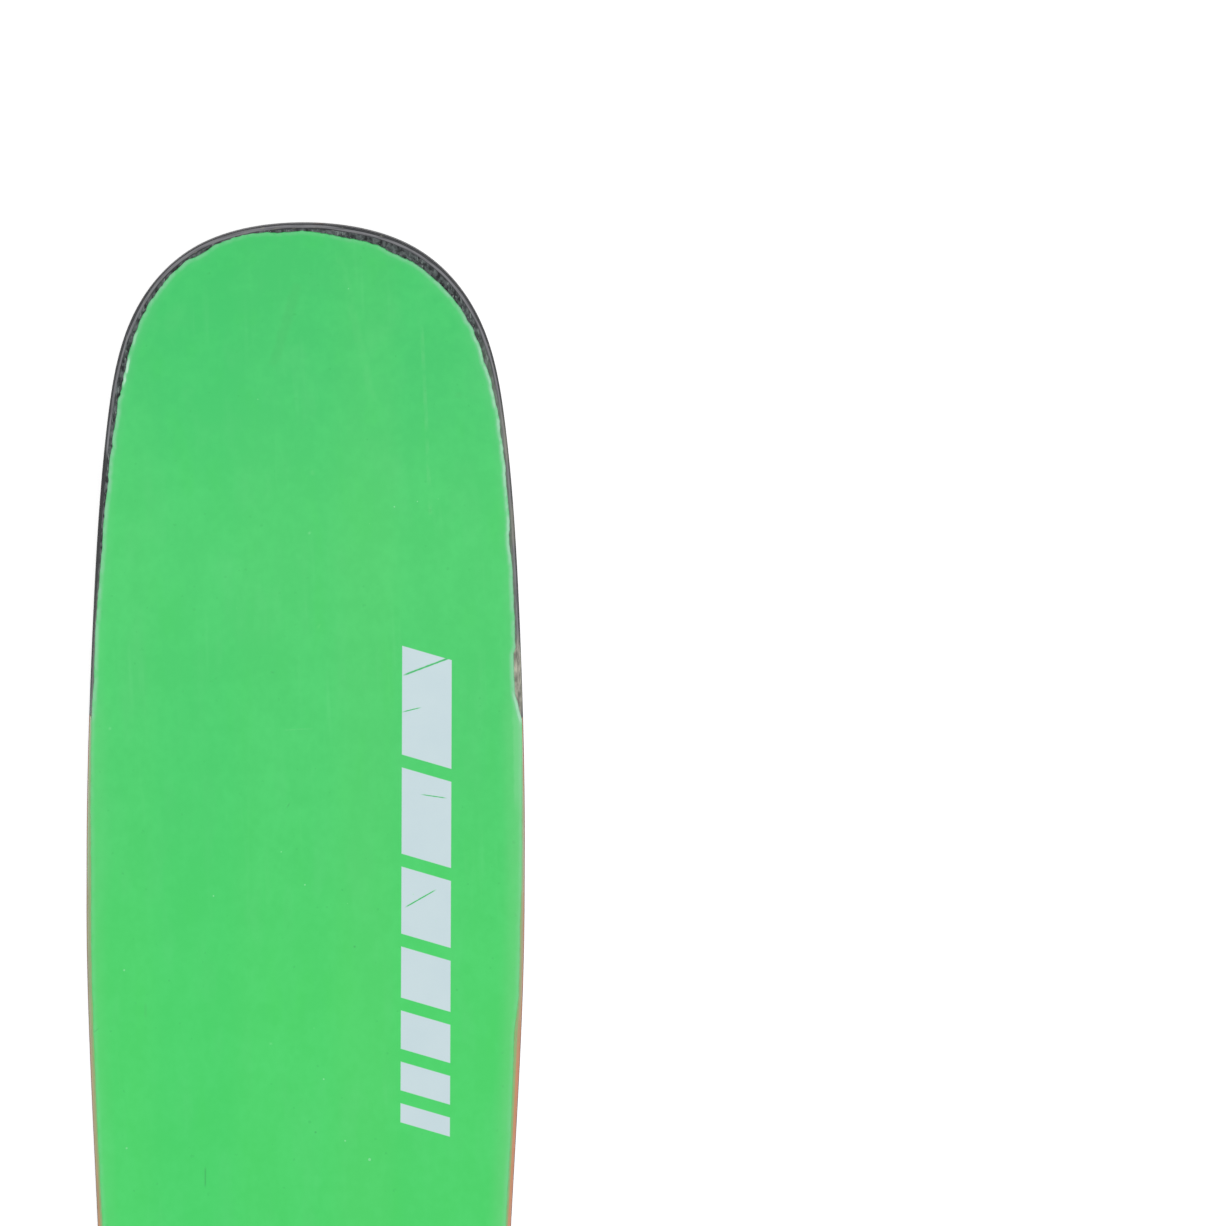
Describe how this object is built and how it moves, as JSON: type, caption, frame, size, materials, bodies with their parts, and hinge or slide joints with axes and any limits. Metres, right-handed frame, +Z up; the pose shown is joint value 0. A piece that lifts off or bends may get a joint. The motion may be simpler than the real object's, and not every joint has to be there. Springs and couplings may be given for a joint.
{
  "type": "ski",
  "caption": "Wide twin-tip snow ski without binding: blunt upturned shovel and tail, deep sidecut, slight camber, steel edges, sidewalls and a bevelled topsheet.",
  "frame": {"origin": "on the ground under the ski, midway between the tip and tail ends and on the ski's centre line", "axes": "+Y along the ski towards the tip, +X to the skier's right, +Z up from the running base to the topsheet; the ski lies unloaded on its base"},
  "size_m": [0.137, 1.8, 0.0662],
  "materials": {
    "topsheet": "worn satin, scratched",
    "sidewall": "scuffed",
    "tip_plastic": "scuffed",
    "running_base": "stone-ground and waxed",
    "edge_steel": "ground",
    "foil_rubber": "plain",
    "glass_laminate": "resin-bonded glass fibre",
    "dark_laminate": "resin-bonded fibre, dark",
    "core_wood": "planed",
    "carbon": "pultruded",
    "plate_alloy": "abraded for bonding"
  },
  "bodies": {
    "root": {"topsheet": "topsheet", "upper_laminate": "dark_laminate", "binding_plate": "plate_alloy", "core_stringer_1": "core_wood", "core_stringer_2": "core_wood", "core_stringer_3": "core_wood", "core_stringer_4": "core_wood", "core_stringer_5": "core_wood", "core_stringer_6": "core_wood", "core_stringer_7": "core_wood", "carbon_rod_left": "carbon", "carbon_rod_right": "carbon", "sidewall_left": "sidewall", "sidewall_right": "sidewall", "tip_spacer": "tip_plastic", "tail_spacer": "tip_plastic", "lower_laminate": "glass_laminate", "edge_foil_left": "foil_rubber", "edge_foil_right": "foil_rubber", "edge_left": "edge_steel", "edge_right": "edge_steel", "base_sheet": "running_base"}
  },
  "joints": []
}
